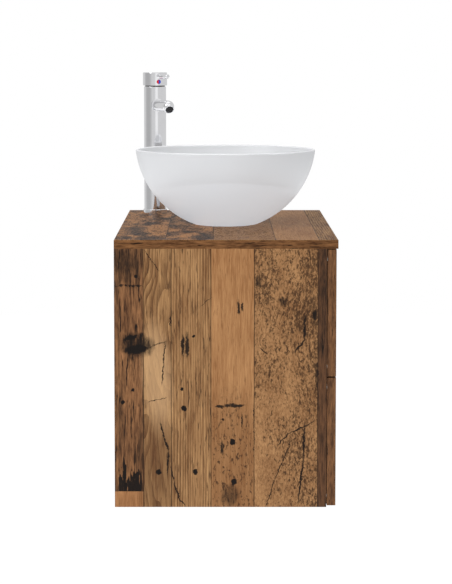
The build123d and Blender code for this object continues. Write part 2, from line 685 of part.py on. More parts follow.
with BuildPart(ON_TOP) as trap_body:
    post(TRAP_RADIUS, TRAP_BOTTOM, TRAP_TOP)
    fillet(trap_body.edges().group_by(Axis.Z)[-1], TRAP_ROUND)
    post(STUB_RADIUS, TRAP_TOP - STUB_ROOT, TRAP_TOP + STUB_RISE)
    with Locations((0, 0, -TRAP_OUTLET_DROP)):
        Cylinder(STUB_RADIUS, STUB_END, rotation=(-90, 0, 0), align=BASE)
    post(TRAP_RADIUS - TRAP_WALL, TRAP_BOTTOM, TRAP_TOP - TRAP_ROOF, mode=Mode.SUBTRACT)
    inlet_bottom = TRAP_TOP - INLET_BORE_DEPTH
    post(PIPE_RADIUS + CLEAR, inlet_bottom, TRAP_TOP + STUB_RISE, mode=Mode.SUBTRACT)
    with Locations((0, 0, -TRAP_OUTLET_DROP)):
        Cylinder(PIPE_RADIUS + CLEAR, STUB_END, rotation=(-90, 0, 0), align=BASE, mode=Mode.SUBTRACT)
save(trap_body.part, "trap_body")

with BuildPart() as trap_cup:
    wall_plane = ON_TOP.offset(CUP_BOTTOM + CUP_FLOOR)
    grip_nut(wall_plane, CUP_HEIGHT, TRAP_RADIUS + CLEAR, CUP_RADIUS, CUP_RIBS)
    with BuildSketch(ON_TOP.offset(CUP_BOTTOM)):
        Circle(CUP_FLOOR_RADIUS)
    extrude(amount=CUP_FLOOR)
save(trap_cup.part, "trap_cup")

with BuildPart() as trap_nuts:
    grip_nut(ON_TOP.offset(TRAP_TOP + STUB_RISE), INLET_NUT_HEIGHT, PIPE_RADIUS + CLEAR)
    grip_nut(OUTLET_PLANE.offset(STUB_END), OUTLET_NUT_HEIGHT, PIPE_RADIUS + CLEAR)
    waste_nut_plane = ON_TOP.offset(-WASTE_LENGTH)
    grip_nut(waste_nut_plane, WASTE_NUT_HEIGHT, WASTE_RADIUS + CLEAR, WASTE_NUT_RADIUS)
save(trap_nuts.part, "trap_nuts")

# A raised bead stops the wall coupling on the last stretch of the outlet pipe.
OUTLET_START = TRAP_RADIUS + 8
COUPLING_LENGTH = 40
BEAD_WIDTH = 3
BEAD_RADIUS = 18
with BuildPart() as trap_outlet_pipe:
    with BuildSketch(OUTLET_PLANE.offset(OUTLET_START)):
        Circle(PIPE_RADIUS)
    extrude(amount=BACK_Y - OUTLET_START)
    with BuildSketch(OUTLET_PLANE.offset(BACK_Y - COUPLING_LENGTH - BEAD_WIDTH)):
        Circle(BEAD_RADIUS)
    extrude(amount=BEAD_WIDTH)
    with BuildSketch(OUTLET_PLANE.offset(OUTLET_START)):
        Circle(PIPE_RADIUS - PIPE_WALL)
    extrude(amount=BACK_Y - OUTLET_START, mode=Mode.SUBTRACT)
save(trap_outlet_pipe.part, "trap_outlet_pipe")

# ---------------------------------------------------------------- mixer tap
TAP_ORIGIN = Vector(TAP_X, TAP_Y, CABINET_HEIGHT)


def heading(turn):
    """A level direction, turned in degrees from -X towards -Y."""
    return Vector(-cos(radians(turn)), -sin(radians(turn)), 0)


spout_way = heading(SPOUT_TURN)
handle_way = heading(HANDLE_TURN)
TAP = Plane(origin=TAP_ORIGIN, x_dir=spout_way, z_dir=(0, 0, 1))  # +X along the spout
HANDLE = Plane(origin=TAP_ORIGIN, x_dir=handle_way, z_dir=(0, 0, 1))  # +X along the lever

GASKET = 1.5
TAP_WALL = 2.6
CHAMBER_FLOOR = 226
CHAMBER_FLOOR_THICKNESS = 4
CARTRIDGE_INLETS = ((-4, -7), (-4, 7))  # ways through the cartridge, in the tap's frame
CARTRIDGE_OUTLET = (7, 0)
CARTRIDGE_WAY_RADIUS = 3
SPOUT_ROOT = 19.2  # inner end of the spout tube, from the tap's axis
CHAMBER_RADIUS = 19
PORT_RADIUS = 5
PORT_AT = (4.5, 7)
FOOT_PLATE = 12  # height of the top of the tap's foot plate
STUD_RADIUS = 3
STUD_AT = (-12.5, 0)
STUD_END = -62
TAP_TOP_ROUND = 1
SPOUT_SOCKET_PLAY = 1  # the socket starts this far inside the spout's end
BASE_RING_CHAMFER = 0.8
SPOUT_AXIS_PLANE = Plane(
    origin=TAP_ORIGIN + Vector(0, 0, SPOUT_HEIGHT), x_dir=(0, 0, 1), z_dir=spout_way
)

with BuildPart(TAP) as tap_body:
    post(TAP_RADIUS, GASKET, TAP_HEIGHT)
    fillet(tap_body.edges().group_by(Axis.Z)[-1], TAP_TOP_ROUND)
    column_top = CHAMBER_FLOOR - CHAMBER_FLOOR_THICKNESS
    post(TAP_RADIUS - TAP_WALL, FOOT_PLATE, column_top, mode=Mode.SUBTRACT)
    post(CHAMBER_RADIUS, CHAMBER_FLOOR, TAP_HEIGHT, mode=Mode.SUBTRACT)
    for way in (*CARTRIDGE_INLETS, CARTRIDGE_OUTLET):
        post(CARTRIDGE_WAY_RADIUS, column_top, CHAMBER_FLOOR, way, Mode.SUBTRACT)
    for side in (-1, 1):
        post(PORT_RADIUS, GASKET, FOOT_PLATE, (PORT_AT[0], side * PORT_AT[1]), Mode.SUBTRACT)
    post(STUD_RADIUS + CLEAR, GASKET, FOOT_PLATE, STUD_AT, Mode.SUBTRACT)
    with BuildSketch(SPOUT_AXIS_PLANE.offset(SPOUT_ROOT - SPOUT_SOCKET_PLAY)):
        Circle(SPOUT_RADIUS + CLEAR)
    extrude(amount=TAP_RADIUS, mode=Mode.SUBTRACT)
save(tap_body.part, "tap_body")

# Two tubes lead hot and cold water up the column, and mixed water fills the space around them.
RISER_RADIUS = 4
RISER_BORE = 3
with BuildPart() as tap_risers:
    for port_side, inlet in zip((-1, 1), CARTRIDGE_INLETS):
        riser_foot = TAP.from_local_coords((PORT_AT[0], port_side * PORT_AT[1], FOOT_PLATE))
        riser_head = TAP.from_local_coords((*inlet, column_top))
        with BuildSketch(Plane(origin=riser_foot, z_dir=(0, 0, 1))):
            Circle(RISER_RADIUS)
            Circle(RISER_BORE, mode=Mode.SUBTRACT)
        with BuildSketch(Plane(origin=riser_head, z_dir=(0, 0, 1))):
            Circle(RISER_RADIUS)
            Circle(RISER_BORE, mode=Mode.SUBTRACT)
        loft()
save(tap_risers.part, "tap_risers")

with BuildPart(TAP) as tap_base_ring:
    post(BASE_RING_RADIUS, 0, BASE_RING_HEIGHT)
    chamfer(tap_base_ring.edges().group_by(Axis.Z)[-1], BASE_RING_CHAMFER)
    post(TAP_RADIUS + CLEAR, 0, BASE_RING_HEIGHT, mode=Mode.SUBTRACT)
save(tap_base_ring.part, "tap_base_ring")

with BuildPart(TAP) as tap_stud:
    post(STUD_RADIUS, STUD_END, FOOT_PLATE, STUD_AT)
save(tap_stud.part, "tap_stud")


HOSE_WAY_RADIUS = 13.5
HOSE_WAY_X = 6
STUD_HOLE_PLAY = 0.2
SOFT_WASHER = 3
SOFT_WASHER_RADIUS = 25
CLAMP = 2.5
CLAMP_RADIUS = 26
CLAMP_NUT_HEIGHT = 14
CLAMP_NUT_RADIUS = 6.4
GASKET_INSET = 0.2
GASKET_BORE = 16.5
CLAMP_BOTTOM = -BOARD - SOFT_WASHER - CLAMP


def horseshoe(bottom, top, radius):
    """A clamp washer, open towards the spout so that the hoses pass."""
    post(radius, bottom, top)
    post(HOSE_WAY_RADIUS, bottom, top, (HOSE_WAY_X, 0), Mode.SUBTRACT)
    slot_low = (HOSE_WAY_X, -HOSE_WAY_RADIUS, bottom)
    block(slot_low, (radius, HOSE_WAY_RADIUS, top), Mode.SUBTRACT)
    post(STUD_RADIUS + STUD_HOLE_PLAY, bottom, top, STUD_AT, Mode.SUBTRACT)


with BuildPart(TAP) as tap_seals:
    horseshoe(-BOARD - SOFT_WASHER, -BOARD, SOFT_WASHER_RADIUS)
    post(TAP_RADIUS - GASKET_INSET, 0, GASKET)
    post(GASKET_BORE, 0, GASKET, mode=Mode.SUBTRACT)
save(tap_seals.part, "tap_seals")

with BuildPart(TAP) as tap_clamp_washer:
    horseshoe(CLAMP_BOTTOM, -BOARD - SOFT_WASHER, CLAMP_RADIUS)
save(tap_clamp_washer.part, "tap_clamp_washer")

with BuildPart() as tap_clamp_nut:
    with BuildSketch(TAP.offset(CLAMP_BOTTOM - CLAMP_NUT_HEIGHT)):
        with Locations(STUD_AT):
            RegularPolygon(CLAMP_NUT_RADIUS, 6)
            Circle(STUD_RADIUS + CLEAR, mode=Mode.SUBTRACT)
    extrude(amount=CLAMP_NUT_HEIGHT)
save(tap_clamp_nut.part, "tap_clamp_nut")

# Spout: a level tube, an elbow and a short nozzle that points down and outwards.
drop = radians(NOZZLE_DROP_ANGLE)
nozzle_way = spout_way * cos(drop) + Vector(0, 0, -sin(drop))
bend_point = TAP_ORIGIN + spout_way * SPOUT_BEND_REACH + Vector(0, 0, SPOUT_HEIGHT)
NOZZLE = Plane(origin=bend_point, x_dir=spout_way.cross(Vector(0, 0, 1)), z_dir=nozzle_way)
SPOUT_BORE = 8.6
ELBOW_MOUTH_DEPTH = SPOUT_RADIUS + 2

with BuildPart() as spout_tube:
    with BuildSketch(SPOUT_AXIS_PLANE.offset(SPOUT_ROOT)):
        Circle(SPOUT_RADIUS)
    extrude(amount=SPOUT_BEND_REACH - SPOUT_ROOT)
    with Locations(bend_point):
        Sphere(SPOUT_RADIUS)
    with BuildSketch(SPOUT_AXIS_PLANE.offset(SPOUT_ROOT)):
        Circle(SPOUT_BORE)
    extrude(amount=SPOUT_BEND_REACH - SPOUT_ROOT, mode=Mode.SUBTRACT)
    with Locations(bend_point):
        Sphere(SPOUT_BORE, mode=Mode.SUBTRACT)
    with BuildSketch(NOZZLE):
        Circle(NOZZLE_RADIUS)
    extrude(amount=ELBOW_MOUTH_DEPTH, mode=Mode.SUBTRACT)
save(spout_tube.part, "spout_tube")

NOZZLE_BORE = 7.7
NOZZLE_START = 2
NOZZLE_CHAMFER = 0.5
with BuildPart() as nozzle:
    with BuildSketch(NOZZLE.offset(NOZZLE_START)):
        Circle(NOZZLE_RADIUS)
        Circle(NOZZLE_BORE, mode=Mode.SUBTRACT)
    extrude(amount=NOZZLE_LENGTH - NOZZLE_START)
    end_edges = nozzle.edges().filter_by(GeomType.CIRCLE).sort_by(Axis(bend_point, nozzle_way))
    chamfer(end_edges[-2:].sort_by(SortBy.RADIUS)[-1], NOZZLE_CHAMFER)
save(nozzle.part, "nozzle")

AERATOR_RINGS = ((2.4, 6), (4.8, 12))  # radius and number of holes
AERATOR_HOLE = 0.7
AERATOR_SETBACK = 1
with BuildPart() as aerator:
    with BuildSketch(NOZZLE.offset(NOZZLE_START + AERATOR_SETBACK)):
        Circle(NOZZLE_BORE)
        for ring_radius, count in AERATOR_RINGS:
            with PolarLocations(ring_radius, count):
                Circle(AERATOR_HOLE, mode=Mode.SUBTRACT)
        Circle(AERATOR_HOLE, mode=Mode.SUBTRACT)
    extrude(amount=NOZZLE_LENGTH - NOZZLE_START - 2 * AERATOR_SETBACK)
save(aerator.part, "aerator")

SPOUT_SEAL_RADIUS = 12.7
SPOUT_SEAL_START = 6  # inside the tap body's surface, and cut away there
SPOUT_SEAL_LENGTH = 7.2
with BuildPart() as spout_seal:
    with BuildSketch(SPOUT_AXIS_PLANE.offset(TAP_RADIUS - SPOUT_SEAL_START)):
        Circle(SPOUT_SEAL_RADIUS)
        Circle(SPOUT_RADIUS + CLEAR, mode=Mode.SUBTRACT)
    extrude(amount=SPOUT_SEAL_LENGTH)
    with Locations(TAP_ORIGIN + Vector(0, 0, SPOUT_HEIGHT)):
        Cylinder(TAP_RADIUS + CLEAR, 4 * SPOUT_SEAL_RADIUS, mode=Mode.SUBTRACT)
save(spout_seal.part, "spout_seal")

# Cartridge: housing and ceramic discs in the chamber, held by a domed nut.
PIVOT_HEIGHT = TAP_HEIGHT + CAP_GAP
DOME_RADIUS = 19.5
DOME_BORE = 17.5
DOME_MOUTH = 13
NUT_ROOT = 244
HOUSING_RADIUS = 18.9
DISC_RADIUS = 14
DISC_BOTTOM = 229
DISC_THICKNESS = 4
HOUSING_BORE = 15.5
DOME_CUT = 30  # taller than the dome, for cutting it off flat
NUT_BORE_INSET = 0.2
NUT_SKIRT = TAP_HEIGHT - NUT_ROOT + 1  # runs into the dome

with BuildPart(TAP) as cartridge_housing:
    post(HOUSING_RADIUS, CHAMBER_FLOOR, NUT_ROOT)
    post(HOUSING_BORE, DISC_BOTTOM, NUT_ROOT, mode=Mode.SUBTRACT)
    for way in (*CARTRIDGE_INLETS, CARTRIDGE_OUTLET):
        post(CARTRIDGE_WAY_RADIUS, CHAMBER_FLOOR, DISC_BOTTOM, way, Mode.SUBTRACT)
save(cartridge_housing.part, "cartridge_housing")

with BuildPart(TAP) as fixed_disc:
    post(DISC_RADIUS, DISC_BOTTOM, DISC_BOTTOM + DISC_THICKNESS)
    for way in (*CARTRIDGE_INLETS, CARTRIDGE_OUTLET):
        post(CARTRIDGE_WAY_RADIUS, DISC_BOTTOM, DISC_BOTTOM + DISC_THICKNESS, way, Mode.SUBTRACT)
save(fixed_disc.part, "fixed_ceramic_disc")

with BuildPart() as cartridge_nut:
    with Locations(TAP.location * Location((0, 0, PIVOT_HEIGHT))):
        Sphere(DOME_RADIUS)
        Sphere(DOME_BORE, mode=Mode.SUBTRACT)
    with Locations(TAP.location * Location((0, 0, TAP_HEIGHT - DOME_CUT))):
        Cylinder(2 * DOME_RADIUS, DOME_CUT, align=BASE, mode=Mode.SUBTRACT)
    with Locations(TAP.location * Location((0, 0, PIVOT_HEIGHT))):
        Cylinder(DOME_MOUTH, DOME_CUT, align=BASE, mode=Mode.SUBTRACT)
    with Locations(TAP.location * Location((0, 0, NUT_ROOT))):
        Cylinder(HOUSING_RADIUS, NUT_SKIRT, align=BASE)
        Cylinder(DOME_BORE - NUT_BORE_INSET, NUT_SKIRT, align=BASE, mode=Mode.SUBTRACT)
save(cartridge_nut.part, "cartridge_nut")

# Rotor: turns with the handle and carries the pin that the stem tilts on.
ROTOR_RADIUS = 15.2
ROTOR_BOTTOM = DISC_BOTTOM + 2 * DISC_THICKNESS
SLOT_HALF = 3.4
SLOT_REACH = 9
SLOT_FLOOR = 3
PIN_RADIUS = 1.25
PIN_LENGTH = 17
PIN_PLAY = 0.05
SHOULDER = PIVOT_HEIGHT - 4
EAR_TOP = PIVOT_HEIGHT + 3
EAR_OFFSET = 6.2
EAR_HALF_WIDTH = 2.6
EAR_REACH = 4
STEM_RADIUS = 3
STEM_END = 9  # below the pivot
DISC_SHY = 1  # the moving disc is this much smaller than the fixed one

with BuildPart(HANDLE) as moving_disc:
    post(DISC_RADIUS - DISC_SHY, DISC_BOTTOM + DISC_THICKNESS, ROTOR_BOTTOM)
save(moving_disc.part, "moving_ceramic_disc")

with BuildPart(HANDLE) as cartridge_rotor:
    post(ROTOR_RADIUS, ROTOR_BOTTOM, SHOULDER)
    for side in (-1, 1):
        ear = side * EAR_OFFSET
        ear_low = (-EAR_REACH, ear - EAR_HALF_WIDTH, SHOULDER)
        block(ear_low, (EAR_REACH, ear + EAR_HALF_WIDTH, EAR_TOP))
    stem_slot_low = (-SLOT_REACH, -SLOT_HALF, ROTOR_BOTTOM + SLOT_FLOOR)
    block(stem_slot_low, (SLOT_REACH, SLOT_HALF, PIVOT_HEIGHT), Mode.SUBTRACT)
    with Locations((0, 0, PIVOT_HEIGHT)):
        Cylinder(PIN_RADIUS, 2 * ROTOR_RADIUS, rotation=(90, 0, 0), mode=Mode.SUBTRACT)
save(cartridge_rotor.part, "cartridge_rotor")

with BuildPart(HANDLE) as lever_pivot_pin:
    with Locations((0, 0, PIVOT_HEIGHT)):
        Cylinder(PIN_RADIUS, PIN_LENGTH, rotation=(90, 0, 0))
save(lever_pivot_pin.part, "lever_pivot_pin")

# Handle: stem, cap, pin lever and the two-colour temperature mark.
STEM_TOP = PIVOT_HEIGHT + 15
BOSS_RADIUS = 5.5
CAP_BOTTOM = PIVOT_HEIGHT
CAP_TOP = CAP_BOTTOM + CAP_HEIGHT
CAP_ROOF = 4.5
LEVER_Z = CAP_BOTTOM + LEVER_HEIGHT

with BuildPart(HANDLE) as cartridge_stem:
    post(STEM_RADIUS, PIVOT_HEIGHT - STEM_END, STEM_TOP)
    with Locations((0, 0, PIVOT_HEIGHT)):
        Cylinder(PIN_RADIUS + PIN_PLAY, PIN_LENGTH, rotation=(90, 0, 0), mode=Mode.SUBTRACT)
save(cartridge_stem.part, "cartridge_stem")

MARK_RADIUS = 4.3
MARK_RISE = 7.4
MARK_Z = CAP_BOTTOM + MARK_RISE
MARK_DEPTH = 1.2
MARK_GAP = 0.02  # half the gap between the two colours
HANDLE_SECTION = Plane(
    origin=TAP_ORIGIN, x_dir=handle_way, z_dir=handle_way.cross(Vector(0, 0, 1))
)
LEVER_PLANE = Plane(origin=TAP_ORIGIN + Vector(0, 0, LEVER_Z), x_dir=(0, 0, 1), z_dir=handle_way)
MARK_PLANE = Plane(origin=TAP_ORIGIN + Vector(0, 0, MARK_Z), x_dir=(0, 0, 1), z_dir=handle_way)
LEVER_SPIGOT = 3
LEVER_BITE = 19.5  # inner end of the lever's spigot
CAP_ROUND = 1.2
BOSS_START = 8  # above the underside of the cap
BOSS_TOP_SKIN = 1
POCKET_CUT = 8  # longer than the pockets in the cap are deep
LEVER_TIP_ROUND = 2
RELIEF_REACH = CAP_RADIUS + 2
RELIEF_RISE = RELIEF_REACH * tan(radians(LIFT_ANGLE))

with BuildPart(HANDLE) as handle_cap:
    post(CAP_RADIUS, CAP_BOTTOM, CAP_TOP)
    fillet(handle_cap.edges().group_by(Axis.Z)[-1], CAP_ROUND)
    post(CAP_CAVITY_RADIUS, CAP_BOTTOM, CAP_TOP - CAP_ROOF, mode=Mode.SUBTRACT)
    post(BOSS_RADIUS, CAP_BOTTOM + BOSS_START, CAP_TOP - BOSS_TOP_SKIN)
    post(STEM_RADIUS, CAP_BOTTOM, STEM_TOP, mode=Mode.SUBTRACT)
    # The back of the skirt is cut away so that the cap can tilt without touching the tap body.
    with BuildSketch(HANDLE_SECTION):
        with BuildLine():
            Polyline(
                (0, CAP_BOTTOM),
                (-RELIEF_REACH, CAP_BOTTOM),
                (-RELIEF_REACH, CAP_BOTTOM + RELIEF_RISE),
                (0, CAP_BOTTOM),
            )
        make_face()
    extrude(amount=RELIEF_REACH, both=True, mode=Mode.SUBTRACT)
    with BuildSketch(LEVER_PLANE.offset(LEVER_BITE)):
        Circle(LEVER_SPIGOT)
    extrude(amount=POCKET_CUT, mode=Mode.SUBTRACT)
    with BuildSketch(MARK_PLANE.offset(CAP_RADIUS - MARK_DEPTH)):
        Circle(MARK_RADIUS)
    extrude(amount=POCKET_CUT, mode=Mode.SUBTRACT)
save(handle_cap.part, "handle_cap")

with BuildPart() as handle_lever:
    with BuildSketch(LEVER_PLANE.offset(LEVER_BITE)):
        Circle(LEVER_SPIGOT)
    extrude(amount=CAP_RADIUS + CLEAR - LEVER_BITE)
    with BuildSketch(LEVER_PLANE.offset(CAP_RADIUS + CLEAR)):
        Circle(LEVER_RADIUS)
    extrude(amount=LEVER_REACH - CAP_RADIUS - CLEAR)
    tip = handle_lever.faces().sort_by(Axis(TAP_ORIGIN, handle_way))[-1]
    fillet(tip.edges(), LEVER_TIP_ROUND)
save(handle_lever.part, "handle_lever")

for side, name in ((1, "hot_mark"), (-1, "cold_mark")):
    with BuildPart() as mark:
        with BuildSketch(MARK_PLANE.offset(CAP_RADIUS - MARK_DEPTH + CLEAR)):
            Circle(MARK_RADIUS - CLEAR)
            with Locations((0, -side * (MARK_RADIUS - MARK_GAP))):
                Rectangle(3 * MARK_RADIUS, 2 * MARK_RADIUS, mode=Mode.SUBTRACT)
        extrude(amount=MARK_DEPTH)
    save(mark.part, name)
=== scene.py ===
import math

import bpy
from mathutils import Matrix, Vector


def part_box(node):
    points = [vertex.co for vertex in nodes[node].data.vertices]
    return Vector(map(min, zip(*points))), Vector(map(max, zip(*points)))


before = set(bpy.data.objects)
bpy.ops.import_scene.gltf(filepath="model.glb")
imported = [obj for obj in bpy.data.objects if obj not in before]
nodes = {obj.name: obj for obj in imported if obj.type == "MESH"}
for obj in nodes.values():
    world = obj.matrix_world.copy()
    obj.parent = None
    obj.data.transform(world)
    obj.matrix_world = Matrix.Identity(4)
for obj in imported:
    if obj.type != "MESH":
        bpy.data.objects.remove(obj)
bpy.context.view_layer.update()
MM = 0.001
BACK_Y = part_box("countertop")[1][1]

# ------------------------------------------------------------------ shader helpers


def srgb(red, green, blue):
    """A linear colour from display values of 0 to 255."""

    def linear(value):
        value /= 255
        return value / 12.92 if value <= 0.04045 else ((value + 0.055) / 1.055) ** 2.4

    return (linear(red), linear(green), linear(blue), 1)


class Shader:
    """One material with a Principled surface, and short ways to add nodes to it."""

    def __init__(self, name, **sockets):
        self.material = bpy.data.materials.new(name)
        self.material.use_nodes = True
        self.tree = self.material.node_tree
        self.surface = self.tree.nodes["Principled BSDF"]
        for socket, value in sockets.items():
            self.surface.inputs[socket.replace("_", " ")].default_value = value
        self.place = self.tree.nodes.new("ShaderNodeTexCoord").outputs["Object"]

    def set(self, socket, value):
        """Gives an input a constant or links it to another node's output."""
        if isinstance(value, bpy.types.NodeSocket):
            self.tree.links.new(value, socket)
        elif value is not None:
            socket.default_value = value

    def node(self, kind, inputs=(), **settings):
        """Adds a shader node with some inputs and settings."""
        made = self.tree.nodes.new("ShaderNode" + kind)
        for key, value in settings.items():
            setattr(made, key, value)
        for key, value in dict(inputs).items():
            self.set(made.inputs[key], value)
        return made

    def math(self, operation, a, b=None, c=None):
        inputs = {i: v for i, v in enumerate((a, b, c)) if v is not None}
        return self.node("Math", inputs, operation=operation).outputs[0]

    def axes(self):
        """The X, Y and Z of a point on the object, in metres."""
        split = self.node("SeparateXYZ", {0: self.place})
        return split.outputs[0], split.outputs[1], split.outputs[2]

    def point(self, x, y, z=0.0):
        return self.node("CombineXYZ", {0: x, 1: y, 2: z}).outputs[0]

    def noise(self, place, scale, detail=3.0, roughness=0.5):
        inputs = {"Vector": place, "Scale": scale, "Detail": detail, "Roughness": roughness}
        return self.node("TexNoise", inputs).outputs["Fac"]

    def scaled(self, factors):
        """The point on the object, with its axes stretched or squeezed by factors."""
        return self.node("VectorMath", {0: self.place, 1: factors}, operation="MULTIPLY").outputs[0]

    def range(self, value, low, high, to_low=0.0, to_high=1.0, smooth=False):
        """Maps low to high onto to_low to to_high, held at both ends."""
        inputs = {0: value, 1: low, 2: high, 3: to_low, 4: to_high}
        kind = "SMOOTHSTEP" if smooth else "LINEAR"
        return self.node("MapRange", inputs, interpolation_type=kind).outputs[0]

    def mix(self, factor, a, b):
        made = self.node("Mix", data_type="RGBA")
        self.set(made.inputs[0], factor)
        self.set(made.inputs[6], a)
        self.set(made.inputs[7], b)
        return made.outputs[2]

    def bump(self, height, distance, strength=1.0, normal=None):
        inputs = {"Height": height, "Distance": distance, "Strength": strength, "Normal": normal}
        return self.node("Bump", inputs).outputs[0]

    def finish(self, **sockets):
        """Sets or links the surface's inputs and returns the material."""
        for socket, value in sockets.items():
            self.set(self.surface.inputs[socket.replace("_", " ")], value)
        return self.material


def paint(material, *names):
    """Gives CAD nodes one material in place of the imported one."""
    for name in names:
        mesh = nodes[name].data
        mesh.materials.clear()
        mesh.materials.append(material)


# ------------------------------------------------------------------ old planks
BLACK = srgb(17, 10, 7)
CHAR = srgb(52, 31, 18)
SEED_STEP = 0.37  # how far apart two offsets lie in the fourth axis of the noise
FRONT_START = 0.006  # m below a front's lower edge, where its first plank starts
GAP_HALF = 0.0004  # m, half of the dark line between two planks
GAP_SOFT = 0.0010
ROUNDING = 0.0006  # m, of the edges of every board
EMBOSS = 0.00018  # m, depth of the printed board's surface
OFFCUT_TOP = 0.0277  # m above the side panel's lower edge


class Planks(Shader):
    """A decor board printed with old planks. u runs across the planks and v along them, in metres."""

    def __init__(self, name, across, along, seed):
        super().__init__(name, IOR=1.45, Specular_IOR_Level=0.18)
        self.u, self.v, self.seed = across(self), along(self), seed
        self.plane = self.point(self.u, self.v, 0.0)
        inputs = {"Vector": self.plane, "Scale": 110.0, "Detail": 5.0, "Roughness": 0.68}
        wobble = self.node("TexNoise", inputs).outputs["Color"]
        centred = self.node("VectorMath", {0: wobble, 1: (0.5, 0.5, 0.5)}, operation="SUBTRACT")
        inputs = {0: centred.outputs[0], 1: (0.010, 0.012, 0), 2: self.plane}
        self.ragged = self.node("VectorMath", inputs, operation="MULTIPLY_ADD").outputs[0]
        self.stretched = {}
        self.dark = None
        self.gaps = None

    def grain(self, fineness, stretch, detail=4.0, roughness=0.6, distortion=0.0, offset=0.0):
        """Noise drawn out along the planks: lines per metre, and how much longer than wide.

        Only 2, 4.5, 10 and 20 are used as stretch, which keeps the shader small.
        """
        if stretch not in self.stretched:
            inputs = {0: self.plane, 1: (1.0, 1.0 / stretch, 1.0)}
            made = self.node("VectorMath", inputs, operation="MULTIPLY")
            self.stretched[stretch] = made.outputs[0]
        inputs = {
            "Vector": self.stretched[stretch],
            "W": self.seed + SEED_STEP * offset,
            "Scale": fineness,
            "Detail": detail,
            "Roughness": roughness,
            "Distortion": distortion,
        }
        return self.node("TexNoise", inputs, noise_dimensions="4D").outputs["Fac"]

    def between(self, low, high, soft=0.0006):
        """1 on the plank between two places across the board."""
        rise = self.range(self.u, low - soft, low + soft)
        fall = self.range(self.u, high - soft, high + soft, 1.0, 0.0)
        return self.math("MULTIPLY", rise, fall)

    def mark(self, u, v, half_u, half_v, turn=0.0, soft=0.5, ragged=True):
        """An oval mask: centre, half sizes in mm, turn in degrees."""
        c, s = math.cos(math.radians(turn)), math.sin(math.radians(turn))
        short = (c / (half_u * MM), s / (half_u * MM), 0)
        long = (-s / (half_v * MM), c / (half_v * MM), 0)
        start = self.ragged if ragged else self.plane
        away = self.node("VectorMath", {0: start, 1: (u * MM, v * MM, 0)}, operation="SUBTRACT")
        a, b = (
            self.node("VectorMath", {0: away.outputs[0], 1: axis}, operation="DOT_PRODUCT").outputs[1]
            for axis in (short, long)
        )
        reach = self.math("MULTIPLY_ADD", b, b, self.math("MULTIPLY", a, a))
        return self.range(reach, (1 + soft / 2) ** 2, max(0.0, 1 - soft / 2) ** 2, smooth=True)

    def crack(self, points, width, soft=1.0):
        """A mask along a bent line, as drawn-out ovals from point to point, in mm."""
        total = None
        for (u0, v0), (u1, v1) in zip(points, points[1:]):
            length = math.hypot(u1 - u0, v1 - v0)
            turn = math.degrees(math.atan2(v1 - v0, u1 - u0)) - 90
            part = self.mark((u0 + u1) / 2, (v0 + v1) / 2, width / 2, 0.56 * length, turn, soft)
            total = part if total is None else self.math("MAXIMUM", total, part)
        return total

    def darken(self, mask, amount=1.0):
        """Adds a mask to what is burnt, cracked or drilled on the board."""
        mask = self.math("MULTIPLY", mask, amount) if amount != 1.0 else mask
        self.dark = mask if self.dark is None else self.math("MAXIMUM", self.dark, mask)

    def rings(self, phase, sharp):
        """Growth rings: each darkens slowly and ends in a sharp late-wood line."""
        saw = self.math("FRACT", phase)
        return self.math("POWER", saw, sharp)


def plank_colours(shader, light, dark, fine, coarse, contrast=1.0):
    """Colour of one plank from a coarse cloud and fine lines of grain."""
    value = shader.math("MULTIPLY", fine, 0.62)
    value = shader.math("MULTIPLY_ADD", coarse, 0.38, value)
    half = 0.115 / contrast
    value = shader.range(value, 0.5 - half, 0.5 + half)
    return shader.mix(value, dark, light)


def dashes(s, offset, fineness, low, high):
    """Short dark pores and splinters along the grain."""
    return s.range(s.grain(fineness, 10, 3, 0.62, 0.25, offset), low, high)


class Look:
    """A plank's colour and height as node outputs."""

    def __init__(self, colour, height):
        self.colour, self.height = colour, height


def weathered(s, offset, light=srgb(150, 105, 68), dark=srgb(62, 36, 20)):
    """Rough dark plank with black splinters."""
    fine = s.grain(330, 10, 5, 0.68, 0.2, offset)
    cloud = s.grain(38, 4.5, 4, 0.6, 0.3, offset + 3)
    colour = plank_colours(s, light, dark, fine, cloud)
    splinters = dashes(s, offset + 7, 210, 0.55, 0.62)
    streak = s.range(s.grain(75, 10, 4, 0.65, 0.3, offset + 9), 0.50, 0.64, 0.0, 0.85)
    colour = s.mix(s.math("MAXIMUM", splinters, streak), colour, srgb(26, 15, 9))
    return Look(colour, s.math("SUBTRACT", fine, splinters))


def wavy(s, offset, light=srgb(180, 139, 93), dark=srgb(104, 68, 39)):
    """Light plank whose year rings bend around knots."""
    bend = s.grain(15, 4.5, 2, 0.45, 0.0, offset)
    knot = s.mark(44, 283, 42, 70, 0, 1.9, ragged=False)
    phase = s.math("MULTIPLY_ADD", bend, 13.0, s.math("MULTIPLY", s.u, 135.0))
    phase = s.math("MULTIPLY_ADD", knot, 3.5, phase)
    rings = s.rings(phase, 1.7)
    fine = s.grain(360, 20, 5, 0.7, 0.1, offset + 2)
    cloud = s.grain(30, 4.5, 3, 0.55, 0.2, offset + 5)
    colour = plank_colours(s, light, dark, fine, cloud)
    depth = s.range(cloud, 0.40, 0.62, 0.85, 0.30)
    colour = s.mix(s.math("MULTIPLY", rings, depth), colour, srgb(76, 47, 26))
    pores = dashes(s, offset + 8, 400, 0.55, 0.64)
    colour = s.mix(s.math("MULTIPLY", pores, 0.65), colour, CHAR)
    return Look(colour, s.math("MULTIPLY_ADD", rings, -0.5, fine))


